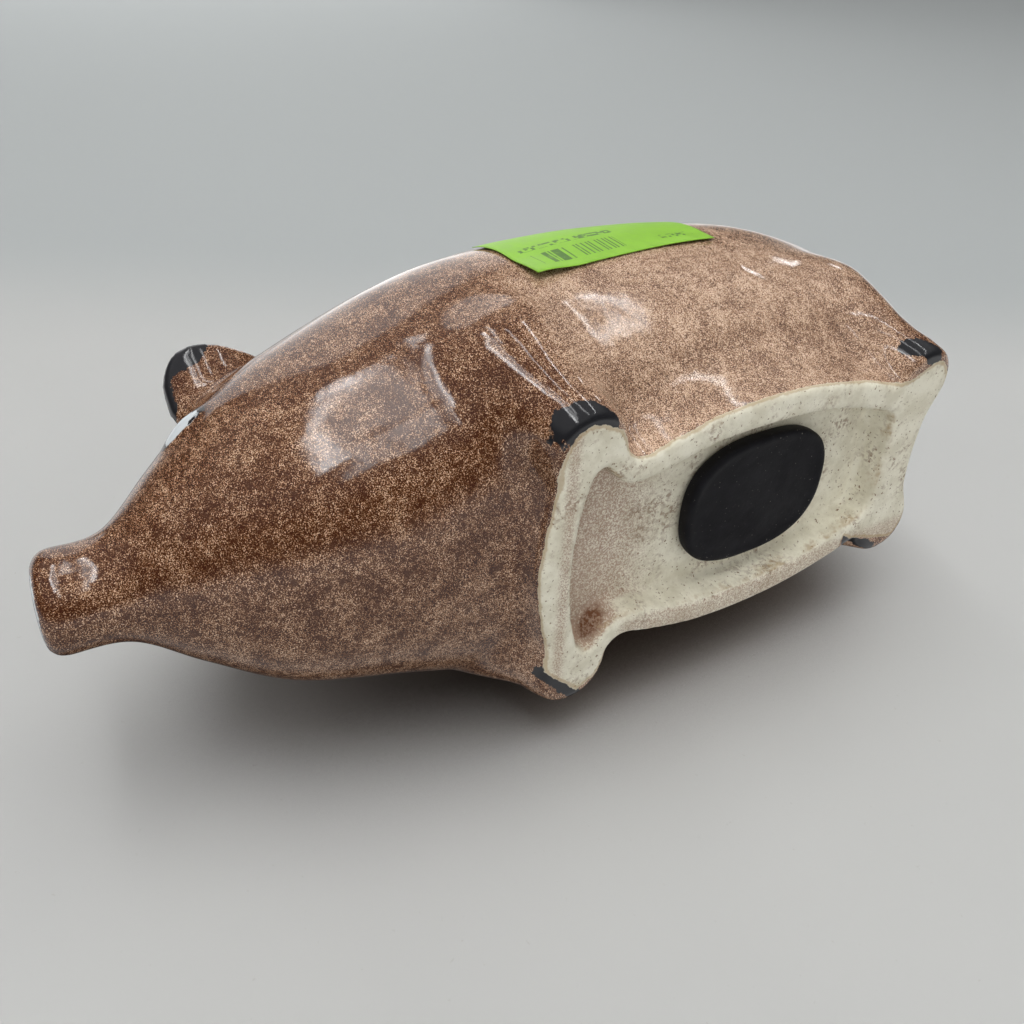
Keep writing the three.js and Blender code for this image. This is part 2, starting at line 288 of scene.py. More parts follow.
def pottery_field():
    """Signed distance to the pottery on a grid, and the grid's lowest corner."""
    low = np.array([0, -120, -4])
    high = np.array([58, 120, 104])
    x, y, z = (np.arange(a, b + VOXEL / 2, VOXEL, dtype=np.float32)
               for a, b in zip(low.astype(float), high.astype(float)))
    x, y, z = x[:, None, None], y[None, :, None], z[None, None, :]
    points, quads, caps = body_loft()
    level = openvdb.FloatGrid.createLevelSetFromPolygons(
        points, triangles=caps, quads=quads,
        transform=openvdb.createLinearTransform(voxelSize=VOXEL), halfWidth=BAND)
    body = np.zeros((x.size, y.size, z.size), np.float32)
    level.copyToArray(body, ijk=tuple(int(round(v / VOXEL)) for v in low))
    end = -(y + 116.2) + 0.9 * (x * x + (z - 43)**2) / 120 + 0.13 * (z - 43)
    body = smooth_max(body, end + 0 * body, 4)
    cavity = body + WALL
    solid = smooth_min(body + ripple(x, y, z), cone(x, y, z, *LEG_FRONT), 8)
    solid = smooth_min(solid, cone(x, y, z, *LEG_REAR), 8)

    flat = polygon_distance(closed_curve(both_sides(RING_OUTER)), x[:, :, 0], y[:, :, 0])
    ring = prism(flat[:, :, None] - 0.25 * np.clip(z, 0, 12), -0.4, 14, 1.2, z)
    solid = smooth_min(solid, ring, 6)
    solid = smooth_min(solid, ellipsoid(x, y, z, *HOOF_FRONT), 3)
    solid = smooth_min(solid, ellipsoid(x, y, z, *HOOF_REAR), 3)
    near_ear = (slice(0, 46), slice(20, 90), slice(60, 108))
    xe, ye, ze = x[:46], y[:, 20:90], z[:, :, 60:108]
    solid[near_ear] = smooth_min(solid[near_ear], ear(xe, ye, ze).astype(np.float32), 4)
    near_eye = (slice(8, 36), slice(28, 56), slice(48, 76))
    eyeball = -patch(x[8:36], y[:, 28:56], z[:, :, 48:76], EYE, EYE_AXES, (2.7, 6.4, 3.7))
    solid[near_eye] = smooth_min(solid[near_eye], eyeball.astype(np.float32), 1.5)
    solid = solid + 0.55 * crease_depth(x, y, z)
    solid = smooth_max(solid, -z + 0 * solid, 1.0)

    flat = polygon_distance(closed_curve(both_sides(RING_INNER)), x[:, :, 0], y[:, :, 0])
    recess = prism(flat[:, :, None] - 0.12 * np.clip(-z + 6, 0, 8), -12, BELLY_Z, 0.9, z)
    solid = smooth_max(solid, -recess, 0.6)
    hole = polygon_distance(oval(HOLE_WIDTH, HOLE_LENGTH, STOPPER_Y), x[:, :, 0], y[:, :, 0])
    solid = smooth_max(solid, -prism(hole[:, :, None], -12, 24, 0.5, z), 1.2)
    dy = np.abs(y - SLOT_Y) - SLOT_LENGTH / 2
    dx = np.abs(x) - SLOT_WIDTH / 2
    slot = np.hypot(np.maximum(dx, 0), np.maximum(dy, 0)) + np.minimum(np.maximum(dx, dy), 0)
    solid = smooth_max(solid, -prism(slot, 60, 130, 0.5, z), 1.6)
    nostril = ellipsoid(x, y, z, (NOSTRIL_X, -116.8, NOSTRIL_Z), (1.9, 2.2, 2.6))
    solid = smooth_max(solid, -nostril, 1.2)
    solid = np.maximum(solid, -cavity)

    full = np.concatenate([solid[:0:-1], solid], 0).astype(np.float32)
    xf = np.concatenate([-x[:0:-1], x], 0)
    near_tail = (slice(36, 80), slice(200, 241), slice(60, 108))
    curl = tail(xf[36:80], y[:, 200:241], z[:, :, 60:108]).astype(np.float32)
    full[near_tail] = smooth_min(full[near_tail], curl, 2)
    return full, np.array([-58, -120, -4])


def surface_of(field, low):
    grid = openvdb.FloatGrid(BAND * VOXEL)
    grid.transform = openvdb.createLinearTransform(voxelSize=VOXEL)
    grid.copyFromArray(field, ijk=tuple(int(round(v / VOXEL)) for v in low))
    grid.gridClass = openvdb.GridClass.LEVEL_SET
    points, quads = grid.convertToQuads(0)
    return points, quads[:, ::-1]


def smoothed(points, quads, rounds):
    """Evens out the grid's steps without shrinking the shape."""
    pairs = np.concatenate([quads[:, [0, 1]], quads[:, [1, 2]], quads[:, [2, 3]], quads[:, [3, 0]]])
    pairs = np.unique(np.sort(pairs, 1), axis=0)
    a, b = np.concatenate([pairs, pairs[:, ::-1]]).T
    count = np.bincount(a, minlength=len(points))[:, None]
    for step in range(2 * rounds):
        mean = np.stack([np.bincount(a, points[b, i], len(points)) for i in range(3)], 1) / count
        points = points + (0.5 if step % 2 == 0 else -0.53) * (mean - points)
    return points


def make_object(name, points, faces, attributes=None):
    mesh = bpy.data.meshes.new(name)
    corners = [tuple(int(i) for i in face) for face in faces]
    mesh.from_pydata((np.asarray(points) * MM).tolist(), [], corners)
    for key, values in (attributes or {}).items():
        layer = mesh.attributes.new(key, "FLOAT", "POINT")
        layer.data.foreach_set("value", np.asarray(values, np.float32))
    mesh.polygons.foreach_set("use_smooth", np.ones(len(mesh.polygons), bool))
    mesh.update()
    obj = bpy.data.objects.new(name, mesh)
    bpy.context.scene.collection.objects.link(obj)
    return obj


def thin_out(obj, weight, ratio):
    """Collapses the mesh where weight is 1 and leaves the rest as it is."""
    group = obj.vertex_groups.new(name="thin")
    for i in np.nonzero(weight)[0]:
        group.add([int(i)], 1.0, "REPLACE")
    modifier = obj.modifiers.new("thin", "DECIMATE")
    modifier.ratio = ratio
    modifier.vertex_group = "thin"
    modifier.vertex_group_factor = 1000
    bpy.context.view_layer.objects.active = obj
    bpy.ops.object.modifier_apply(modifier="thin")
    obj.vertex_groups.clear()


def point_values(obj):
    co = np.zeros(len(obj.data.vertices) * 3, np.float32)
    obj.data.vertices.foreach_get("co", co)
    return co.reshape(-1, 3) / MM


def paint(obj, key, values):
    layer = obj.data.attributes.new(key, "FLOAT", "POINT")
    layer.data.foreach_set("value", np.asarray(values, np.float32))


# Centre, axes and radii of the black paint on the left hooves.
TILTED = ((1, 0, 0), (0, 0.93, -0.37), (0, 0.37, 0.93))
FRONT_PAINT = ((38.5, -11.0, 0.3), TILTED, (7.5, 9.5, 4.0))
REAR_PAINT = ((31, 90, 2.6), ((1, 0, 0), (0, 0.82, -0.56), (0, 0.56, 0.82)), (5, 6.2, 2.6))


# Paint masks are signed distances in millimetres, positive inside the painted patch.

def right_hooves(x, y):
    """How far outside the lines where the black paint of the right hooves runs under them."""
    front = np.where((x < -20) & (y < 0), -0.70 * (x + 31.5) - 0.71 * (y + 14.3), -9)
    rear = np.where((x < -18) & (y > 76) & (y < 91), -0.89 * (x + 24.5) - 0.46 * (y - 83.5), -9)
    return np.maximum(front, rear)


def bare_mask(x, y, z):
    outer = polygon_distance(closed_curve(both_sides(RING_OUTER)), x, y)
    inner = polygon_distance(closed_curve(both_sides(RING_INNER)), x, y)
    hoof = smoothstep(-0.6, 0.6, patch(np.abs(x), y, z, *FRONT_PAINT))
    under = np.minimum((1.6 + 1.6 * hoof) * (1.3 - 0.8 * hoof - z), -outer + 1.2)
    under = np.minimum(under, -right_hooves(x, y))
    recess = np.minimum(BELLY_Z + 2.5 - z, 1.6 - inner)
    return np.maximum(under, recess)


def black_mask(x, y, z):
    ax = np.abs(x)
    front = np.minimum(patch(ax, y, z, *FRONT_PAINT), x)
    rear = np.minimum(patch(ax, y, z, *REAR_PAINT), x)
    outside = right_hooves(x, y)
    right = np.minimum.reduce([outside + 0.6, 2.3 - outside, 3.2 - z])
    forward, up, _ = ear_frame(ax, y, z)
    edge = polygon_distance(closed_curve(EAR_OUTLINE, 4), forward, up)
    tip = np.minimum(edge + 1.8, forward + 0.8 * up - 7)
    tip = np.maximum(tip, np.minimum(0.96 * (up - 6.3) + 0.28 * (forward - 1.8),
                                     0.81 * (forward + 0.7) + 0.58 * (up - 9.8)))
    tip = np.where(z > 70, tip, -20)
    lid = np.minimum(patch(ax, y, z, EYE_PAINT, EYE_AXES, (6.5, 6.8, 3.4)), -eye_mask(x, y, z))
    lid = np.minimum(lid, (z - 52.8) * 0.6)
    return np.maximum.reduce([front, rear, right, tip, lid])


def eye_mask(x, y, z):
    return patch(np.abs(x), y, z, EYE_PAINT, EYE_AXES, (5.5, 5.8, 2.3))


def white_mask(x, y, z):
    end = -(y + 115.3) + 0.13 * (z - 43)
    return np.maximum(end, eye_mask(x, y, z))


def nostril_mask(x, y, z):
    away = np.sqrt((np.abs(x) - NOSTRIL_X)**2 + ((z - NOSTRIL_Z) * 0.8)**2)
    return 2.3 - away + np.minimum(-(y + 113), 0) * 5


def stain_amount(x, y, z):
    """Where brown glaze has run into the recess and rubbed off on the rim's underside, plus a darker
    patch in the recess's corner by the right front hoof.
    """
    deep = smoothstep(0.8, 5, z)
    floor = 0.62 * smoothstep(30, -8, y) * smoothstep(5, 7.5, z)
    wall = 0.5 * smoothstep(6, -4, y) * deep
    inner = polygon_distance(closed_curve(both_sides(RING_INNER)), x, y)
    # A darker brown patch low on the recess's wall, in the corner by the right front hoof.
    corner = np.exp(-((y + 2.0) / 4.5)**2) * smoothstep(-12, -15, x) * smoothstep(-3.4, -1.0, inner)
    corner = corner * smoothstep(0.1, 1.2, z) * smoothstep(9, 6, z)
    bar = 0.42 * np.exp(-((y + 14.6) / 2.0)**2) * smoothstep(1.0, 0.3, z)
    rim = 0.38 * smoothstep(-18, -23, x) * smoothstep(-2, 6, y) * smoothstep(0.9, 0.2, z)
    return np.maximum.reduce([floor, wall, bar, rim]) + 0.9 * corner


def glaze_density(y, z):
    """How thickly the brown specks lie: heavy on the head and chest, light along the flanks."""
    head = 0.85 * smoothstep(6, -34, y) + 0.8 * smoothstep(-84, -100, y)
    under_flank = smoothstep(-14, 4, y) * smoothstep(96, 70, y) * smoothstep(52, 26, z)
    rump = smoothstep(78, 104, y)
    ears = smoothstep(74, 80, z) * smoothstep(-50, -58, y)
    return head - 0.8 * under_flank + 0.6 * rump + 0.5 * ears


field, corner = pottery_field()
points, quads = surface_of(field, corner)
points = smoothed(points, quads, 5)
pottery = make_object("pottery_body", points, quads)


CAVITY_END = 108.0
INNER_THINNING = 0.97
UPPER_FROM_Z, UPPER_RATIO = 62.0, 0.98


def inside_cavity(obj):
    """Which points lie on the cavity's wall, away from the stopper's hole and the slot."""
    co = point_values(obj)
    station = np.linspace(0, RUMP_END, 1200)
    rows = catmull_rom(STATIONS, station)
    row = rows[np.searchsorted(np.maximum.accumulate(rows[:, 0]), co[:, 1]).clip(0, len(rows) - 1)]
    wide = np.maximum(row[:, 1] - WALL * 0.6, 0.5)
    tall = np.maximum((row[:, 2] - row[:, 3]) / 2 - WALL * 0.6, 0.5)
    up = co[:, 2] - (row[:, 2] + row[:, 3]) / 2
    power = np.where(up > 0, UPPER_SQUARENESS, row[:, 4])
    inside = (np.abs(co[:, 0]) / wide)**power + (np.abs(up) / tall)**power < 1
    ax, ay, z = np.abs(co[:, 0]), np.abs(co[:, 1]), co[:, 2]
    near_hole = (np.abs(z - 10) < 5) & (ax < 18) & (np.abs(co[:, 1] - STOPPER_Y) < 24)
    near_slot = (z > 88) & (ax < 8) & (np.abs(co[:, 1] - SLOT_Y) < 24)
    return inside & ~near_hole & ~near_slot & (ay < CAVITY_END)


thin = inside_cavity(pottery)
thin_out(pottery, thin, 1 - thin.mean() * INNER_THINNING)
thin_out(pottery, point_values(pottery)[:, 2] > UPPER_FROM_Z, UPPER_RATIO)
co = point_values(pottery)
x, y, z = co.T
for key, mask in (("bare", bare_mask), ("black", black_mask), ("white", white_mask),
                  ("nostril", nostril_mask)):
    paint(pottery, key, mask(x, y, z))
paint(pottery, "dense", glaze_density(y, z))
paint(pottery, "stain", stain_amount(x, y, z))
paint(pottery, "inner", np.where(inside_cavity(pottery), 1.0, -1.0))
pottery.data.polygons.foreach_set("use_smooth", np.ones(len(pottery.data.polygons), bool))


# ---- the rubber stopper -------------------------------------------------------------------------

def oval_stack(profile, y, squareness=2.6, steps=96):
    """A closed solid from ovals given as (half width, half length, z), bottom to top."""
    points, faces = [], []
    for wide, long, z in profile:
        points += [(px, py, z) for px, py in oval(wide, long, y, squareness, steps)]
    for i in range(len(profile) - 1):
        for j in range(steps):
            k = (j + 1) % steps
            faces.append((i * steps + j, i * steps + k, (i + 1) * steps + k, (i + 1) * steps + j))
    last = (len(profile) - 1) * steps
    for z, first, flip in ((profile[0][2], 0, True), (profile[-1][2], last, False)):
        centre = len(points)
        points.append((0, y, z))
        for j in range(steps):
            k = (j + 1) % steps
            faces.append((centre, first + k, first + j) if flip else (centre, first + j, first + k))
    return points, faces


def stopper_profile():
    w, l = FACE_WIDTH, FACE_LENGTH
    rows = [(w - inset, l - inset, FACE_Z + dish)
            for inset, dish in ((12, 0.5), (7, 0.48), (3.6, 0.4), (2.6, 0.25), (1.9, 0.08), (1.3, 0.0),
                                (0.8, 0.1), (0.35, 0.35), (0.1, 0.7), (0, 1.2), (0, 2.6), (0.15, 3.3),
                                (0.5, 3.75), (1.0, 3.9))]
    w, l = HOLE_WIDTH - 0.4, HOLE_LENGTH - 0.4
    rows += [(w - 0.5, l - 0.5, FACE_Z + 4.0), (w - 0.7, l - 0.7, FACE_Z + 4.6), (w - 0.7, l - 0.7, 12.6),
             (w - 0.2, l - 0.2, 13.3), (w, l, 14.0), (w - 0.6, l - 0.6, 15.6), (w - 1.6, l - 1.6, 16.6),
             (w - 2.6, l - 2.6, PLUG_TOP), (w - 8, l - 8, PLUG_TOP)]
    return rows


points, faces = oval_stack(stopper_profile(), STOPPER_Y)
stopper = make_object("rubber_stopper", points, faces)


# ---- the paper sticker --------------------------------------------------------------------------

LABEL_FROM, LABEL_TO = 0.0, 57.0
LABEL_LOW_FRONT, LABEL_LOW_REAR, LABEL_RISE = 40.0, 47.0, 30.0
PAPER = 0.14


def station_at(y):
    station = np.linspace(1, RUMP_END, 4000)
    return np.interp(y, catmull_rom(STATIONS, station)[:, 0], station)


def angle_at(station, z):
    row = catmull_rom(STATIONS, station)
    rise = (2 * z - row[..., 2] - row[..., 3]) / (row[..., 2] - row[..., 3])
    power = np.where(rise > 0, UPPER_SQUARENESS, row[..., 4]) / 2
    return np.sign(rise) * np.arcsin(np.abs(np.clip(rise, -1, 1))**power)


def sticker_mesh(along=72, across=40):
    u, v = np.meshgrid(np.linspace(0, 1, along), np.linspace(0, 1, across), indexing="ij")
    station = station_at(LABEL_FROM + (LABEL_TO - LABEL_FROM) * u)
    low = LABEL_LOW_FRONT + (LABEL_LOW_REAR - LABEL_LOW_FRONT) * u
    angle = angle_at(station, low + LABEL_RISE * v)
    flat = flank_point(station, angle)
    step = 1e-3
    around = flank_point(station, angle + step) - flat
    ahead = flank_point(station + step, angle) - flat
    out = np.cross(ahead, around)
    out /= np.linalg.norm(out, axis=-1, keepdims=True)
    corner = smoothstep(0.0, 1.0, 1 - np.hypot(u / 0.24, v / 0.42))
    edge = smoothstep(0.12, 0, v) * (0.25 + 0.2 * np.sin(u * 9 + 0.6))
    gap = 0.38 + 1.5 * corner + 0.6 * np.maximum(edge, 0) + 0.05 * np.sin(u * 13) * np.sin(v * 7)
    lower = flat + out * gap[..., None]
    upper = flat + out * (gap + PAPER)[..., None]
    points = np.concatenate([lower.reshape(-1, 3), upper.reshape(-1, 3)])
    faces = []
    top = along * across
    for i in range(along - 1):
        for j in range(across - 1):
            a, b = i * across + j, (i + 1) * across + j
            faces.append((a, a + 1, b + 1, b))
            faces.append((top + a, top + b, top + b + 1, top + a + 1))
    rim = ([i * across for i in range(along)]
           + [(along - 1) * across + j for j in range(1, across)]
           + [i * across + across - 1 for i in range(along - 2, -1, -1)]
           + [j for j in range(across - 2, 0, -1)])
    for a, b in zip(rim, rim[1:] + rim[:1]):
        faces.append((a, b, top + b, top + a))
    return points, faces, np.tile(u.ravel(), 2), np.tile(v.ravel(), 2)


points, faces, across_u, across_v = sticker_mesh()
sticker = make_object("paper_sticker", points, faces, {"along": across_u, "across": across_v})


# ---- materials ----------------------------------------------------------------------------------

class Shader:
    """Builds a node material: each call adds a node and returns its first output."""

    def __init__(self, name):
        self.material = bpy.data.materials.new(name)
        self.material.use_nodes = True
        self.tree = self.material.node_tree
        self.surface = next(n for n in self.tree.nodes if n.type == "BSDF_PRINCIPLED")

    def put(self, socket, value):
        if isinstance(value, bpy.types.NodeSocket):
            self.tree.links.new(value, socket)
        elif socket.type == "RGBA" and len(value) == 3:
            socket.default_value = (*value, 1)
        else:
            socket.default_value = value

    def add(self, kind, inputs=(), output=0, **settings):
        node = self.tree.nodes.new(kind)
        for key, value in settings.items():
            setattr(node, key, value)
        for key, value in dict(inputs).items():
            self.put(node.inputs[key], value)
        return node.outputs[output]

    def place(self):
        return self.add("ShaderNodeTexCoord", output="Object")

    def noise(self, scale, detail=2.0, roughness=0.5, vector=None, distortion=0.0):
        return self.add("ShaderNodeTexNoise", {"Vector": vector or self.place(), "Scale": scale,
                                               "Detail": detail, "Roughness": roughness,
                                               "Distortion": distortion})

    def math(self, operation, a, b=0.0):
        return self.add("ShaderNodeMath", {0: a, 1: b}, operation=operation)

    def ramp(self, value, low, high, to_low=0.0, to_high=1.0):
        """A smooth step from to_low to to_high as value goes from low to high."""
        return self.add("ShaderNodeMapRange",
                        {"Value": value, "From Min": low, "From Max": high,
                         "To Min": to_low, "To Max": to_high}, interpolation_type="SMOOTHSTEP")

    def mix(self, factor, a, b):
        """Colours a and b mixed by factor."""
        node = self.tree.nodes.new("ShaderNodeMix")
        node.data_type = "RGBA"
        self.put(node.inputs[0], factor)
        self.put(node.inputs[6], a)
        self.put(node.inputs[7], b)
        return node.outputs[2]

    def blend(self, factor, a, b):
        """Numbers a and b mixed by factor."""
        node = self.tree.nodes.new("ShaderNodeMix")
        self.put(node.inputs[0], factor)
        self.put(node.inputs[2], a)
        self.put(node.inputs[3], b)
        return node.outputs[0]

    def colours(self, value, stops):
        """A colour for value, running through (position, colour) stops."""
        node = self.tree.nodes.new("ShaderNodeValToRGB")
        ramp = node.color_ramp
        while len(ramp.elements) < len(stops):
            ramp.elements.new(0.5)
        for element, (position, colour) in zip(ramp.elements, stops):
            element.position = position
            element.color = (*colour, 1)
        self.put(node.inputs[0], value)
        return node.outputs[0]

    def attribute(self, name):
        return self.add("ShaderNodeAttribute", attribute_name=name, output="Fac")

    def bump(self, height, distance, normal=None):
        inputs = {"Height": height, "Distance": distance, "Strength": 1.0}
        if normal is not None:
            inputs["Normal"] = normal
        return self.add("ShaderNodeBump", inputs)

    def set(self, **values):
        for key, value in values.items():
            self.put(self.surface.inputs[key.replace("_", " ")], value)
        return self.material


def glaze_material():
    s = Shader("speckled_glaze")
    fine = s.noise(3900, 2, 0.6)
    mid = s.noise(760, 2, 0.6)
    patchy = s.noise(170, 3, 0.6)
    drift = s.noise(34, 2, 0.5)
    heavy = s.ramp(s.attribute("dense"), -0.8, 1.3)
    tone = s.math("SUBTRACT", s.ramp(heavy, 0, 1, 0.008, -0.069), s.ramp(mid, 0.3, 0.7, -0.034, 0.034))
    tone = s.math("SUBTRACT", tone, s.ramp(patchy, 0.3, 0.7, -0.035, 0.035))
    tone = s.math("SUBTRACT", tone, s.ramp(drift, 0.35, 0.65, -0.015, 0.015))
    tone = s.ramp(s.math("ADD", fine, tone), 0.34, 0.66)
    glaze = s.colours(tone, [(0.0, (0.040, 0.009, 0.002)), (0.25, (0.100, 0.032, 0.009)),
                             (0.50, (0.25, 0.117, 0.053)), (0.78, (0.56, 0.362, 0.228)),
                             (1.0, (0.74, 0.55, 0.41))])
    dots = s.math("MULTIPLY", s.ramp(s.noise(430, 1, 0.4), 0.66, 0.72),
                  s.ramp(heavy, 0.0, 1.0, 0.3, 0.85))
    glaze = s.mix(dots, glaze, (0.060, 0.018, 0.006))
    pale_wash = s.math("MULTIPLY", s.ramp(heavy, 0.6, 0.0), 0.12)
    glaze = s.mix(pale_wash, glaze, (0.60, 0.47, 0.385))

    wobble = s.math("ADD", s.ramp(s.noise(200, 2), 0.3, 0.7, -0.25, 0.25),
                    s.ramp(s.noise(900, 2), 0.3, 0.7, -0.14, 0.14))
    bare_at = s.math("ADD", s.attribute("bare"), wobble)
    black_at = s.math("ADD", s.attribute("black"), s.math("MULTIPLY", wobble, 1.6))
    white_at = s.math("ADD", s.attribute("white"), s.math("MULTIPLY", wobble, 0.6))
    nostril_at = s.math("ADD", s.attribute("nostril"), wobble)
    bare = s.ramp(bare_at, -0.12, 0.12)
    black = s.ramp(black_at, -0.12, 0.12)
    white = s.ramp(white_at, -0.15, 0.15)
    nostril = s.ramp(nostril_at, -0.3, 0.3)
    inner = s.ramp(s.attribute("inner"), -0.2, 0.2)

    dusty = s.noise(160, 4, 0.65)
    cream = s.mix(s.ramp(dusty, 0.35, 0.65), (0.79, 0.755, 0.62), (0.65, 0.61, 0.48))
    cream = s.mix(s.ramp(s.noise(1100, 2, 0.6), 0.62, 0.72), cream, (0.20, 0.12, 0.06))
    run_in = s.attribute("stain")
    grains = s.math("ADD", s.noise(2300, 3, 0.7), s.math("MULTIPLY", run_in, 0.16))
    grains = s.ramp(grains, 0.48, 0.64)
    cream = s.mix(s.math("MULTIPLY", grains, s.ramp(run_in, 0.02, 0.5, 0.0, 0.9)), cream,
                  (0.30, 0.175, 0.115))
    cream = s.mix(s.ramp(run_in, 0.1, 0.6, 0.0, 0.25), cream, (0.64, 0.52, 0.42))
    # Dark brown where the amount passes 0.75, which only the recess's corner by the right front hoof
    # reaches.
    corner_dark = s.math("MULTIPLY", s.ramp(run_in, 0.75, 1.2),
                    s.ramp(s.noise(900, 3, 0.7), 0.40, 0.56, 0.2, 1.0))
    cream = s.mix(corner_dark, cream, (0.17, 0.065, 0.026))
    stain = s.ramp(s.noise(70, 4, 0.7), 0.50, 0.66)
    residue = s.math("MULTIPLY", stain, s.ramp(s.noise(750, 3, 0.7), 0.45, 0.58))
    cream = s.mix(s.math("MULTIPLY", residue, 0.7), cream, (0.22, 0.13, 0.075))
    edge = s.ramp(s.math("ABSOLUTE", s.math("SUBTRACT", bare_at, 0.5)), 0.7, 0.2)
    cream = s.mix(s.math("MULTIPLY", edge, 0.6), cream, (0.40, 0.28, 0.14))

    colour = s.mix(white, glaze, (0.62, 0.66, 0.68))
    colour = s.mix(nostril, colour, (0.03, 0.032, 0.036))
    colour = s.mix(black, colour, (0.011, 0.011, 0.013))
    unglazed = s.math("MAXIMUM", bare, inner)
    colour = s.mix(unglazed, colour, cream)

    film = s.ramp(s.noise(120, 3, 0.6), 0.4, 0.7, 0.05, 0.11)
    roughness = s.blend(unglazed, film, s.ramp(dusty, 0.3, 0.7, 0.62, 0.85))
    peel = s.bump(s.noise(210, 2, 0.5), 0.00005)
    grain = s.bump(s.blend(unglazed, s.math("MULTIPLY", fine, 0.06), s.noise(1400, 3, 0.7)),
                   0.00010, peel)
    return s.set(Base_Color=colour, Roughness=roughness, Normal=grain, IOR=1.5,
                 Specular_IOR_Level=0.5)


def rubber_material():
    s = Shader("rubber")
    dust = s.noise(240, 4, 0.7)
    smear = s.noise(48, 3, 0.6, distortion=0.6)
    colour = s.mix(s.ramp(dust, 0.4, 0.75), (0.0042, 0.0040, 0.0055), (0.0080, 0.0076, 0.0100))
    colour = s.mix(s.math("MULTIPLY", s.ramp(smear, 0.55, 0.75), 0.5), colour, (0.028, 0.026, 0.027))
    colour = s.mix(s.ramp(s.noise(1500, 2, 0.5), 0.70, 0.76), colour, (0.12, 0.11, 0.10))
    rough = s.ramp(smear, 0.3, 0.7, 0.52, 0.72)
    grain = s.bump(s.noise(900, 3, 0.6), 0.00006)
    return s.set(Base_Color=colour, Roughness=rough, Normal=grain, IOR=1.45, Specular_IOR_Level=0.18)


def paper_material():
    s = Shader("paper")
    u, v = s.attribute("along"), s.attribute("across")

    def band(value, low, high):
        return s.math("MULTIPLY", s.math("GREATER_THAN", value, low), s.math("LESS_THAN", value, high))

    def print_block(columns, rows, threshold, u_span, v_span):
        """Random filled cells inside a span of the sticker: bars or dashes that say nothing."""
        spot = s.add("ShaderNodeCombineXYZ", {"X": s.math("FLOOR", s.math("MULTIPLY", u, columns)),
                                              "Y": s.math("FLOOR", s.math("MULTIPLY", v, rows))})
        speckle = s.add("ShaderNodeTexWhiteNoise", {"Vector": spot}, "Value")
        inside = s.math("MULTIPLY", band(u, *u_span), band(v, *v_span))
        return s.math("MULTIPLY", s.math("GREATER_THAN", speckle, threshold), inside)

    bars = print_block(120, 1, 0.5, (0.08, 0.52), (0.12, 0.34))
    dashes = print_block(64, 40, 0.42, (0.06, 0.56), (0.42, 0.50))
    block = print_block(70, 30, 0.4, (0.74, 0.93), (0.14, 0.21))
    ink = s.math("MAXIMUM", s.math("MAXIMUM", bars, dashes), block)
    worn = s.ramp(s.noise(700, 2, 0.6), 0.30, 0.45, 0.45, 0.85)
    fibre = s.noise(260, 4, 0.7)
    lime = s.mix(s.ramp(fibre, 0.35, 0.65), (0.222, 0.465, 0.030), (0.262, 0.525, 0.045))
    colour = s.mix(s.math("MULTIPLY", ink, worn), lime, (0.05, 0.12, 0.03))
    return s.set(Base_Color=colour, Roughness=s.ramp(fibre, 0.3, 0.7, 0.42, 0.55),
                 Normal=s.bump(s.noise(500, 3, 0.6), 0.00004))


for piece, material, body, slot, nodes in (
        (pottery, glaze_material(), "bank", "speckled_glaze",
         ("body_shell", "foot_ring", "front_left_hoof", "front_right_hoof", "rear_left_hoof",
          "rear_right_hoof", "left_ear", "right_ear", "tail", "snout_disc")),
        (stopper, rubber_material(), "stopper", "rubber", ("stopper",)),
        (sticker, paper_material(), "bank", "paper", ("price_label",))):
    piece.data.materials.append(material)
    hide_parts(*nodes)
    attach(piece, body)


# ---- floor, light and camera --------------------------------------------------------------------

# The camera's place in millimetres, its axes and its lens.
CAMERA_PLACE = Vector((142.5, -117.8, -141.1))
RIGHT = Vector((0.037, 0.860, -0.509))
DOWN = Vector((-0.811, -0.272, -0.518))
FORWARD = Vector((-0.584, 0.432, 0.687))
SENSOR, LENS = 36, 36.1
SQUARE = ((-1, -1), (1, -1), (1, 1), (-1, 1))


def plane(name, origin, axis_u, axis_v, half, material):
    """A stage board that only the camera sees."""
    corners = [origin + axis_u * a * half + axis_v * b * half for a, b in SQUARE]
    mesh = bpy.data.meshes.new(name)
    mesh.from_pydata([tuple(c) for c in corners], [], [(0, 1, 2, 3)])
    obj = bpy.data.objects.new(name, mesh)
    bpy.context.scene.collection.objects.link(obj)
    mesh.materials.append(material)
    for ray in ("visible_diffuse", "visible_glossy", "visible_transmission", "visible_shadow",
                "visible_volume_scatter"):
        setattr(obj, ray, False)


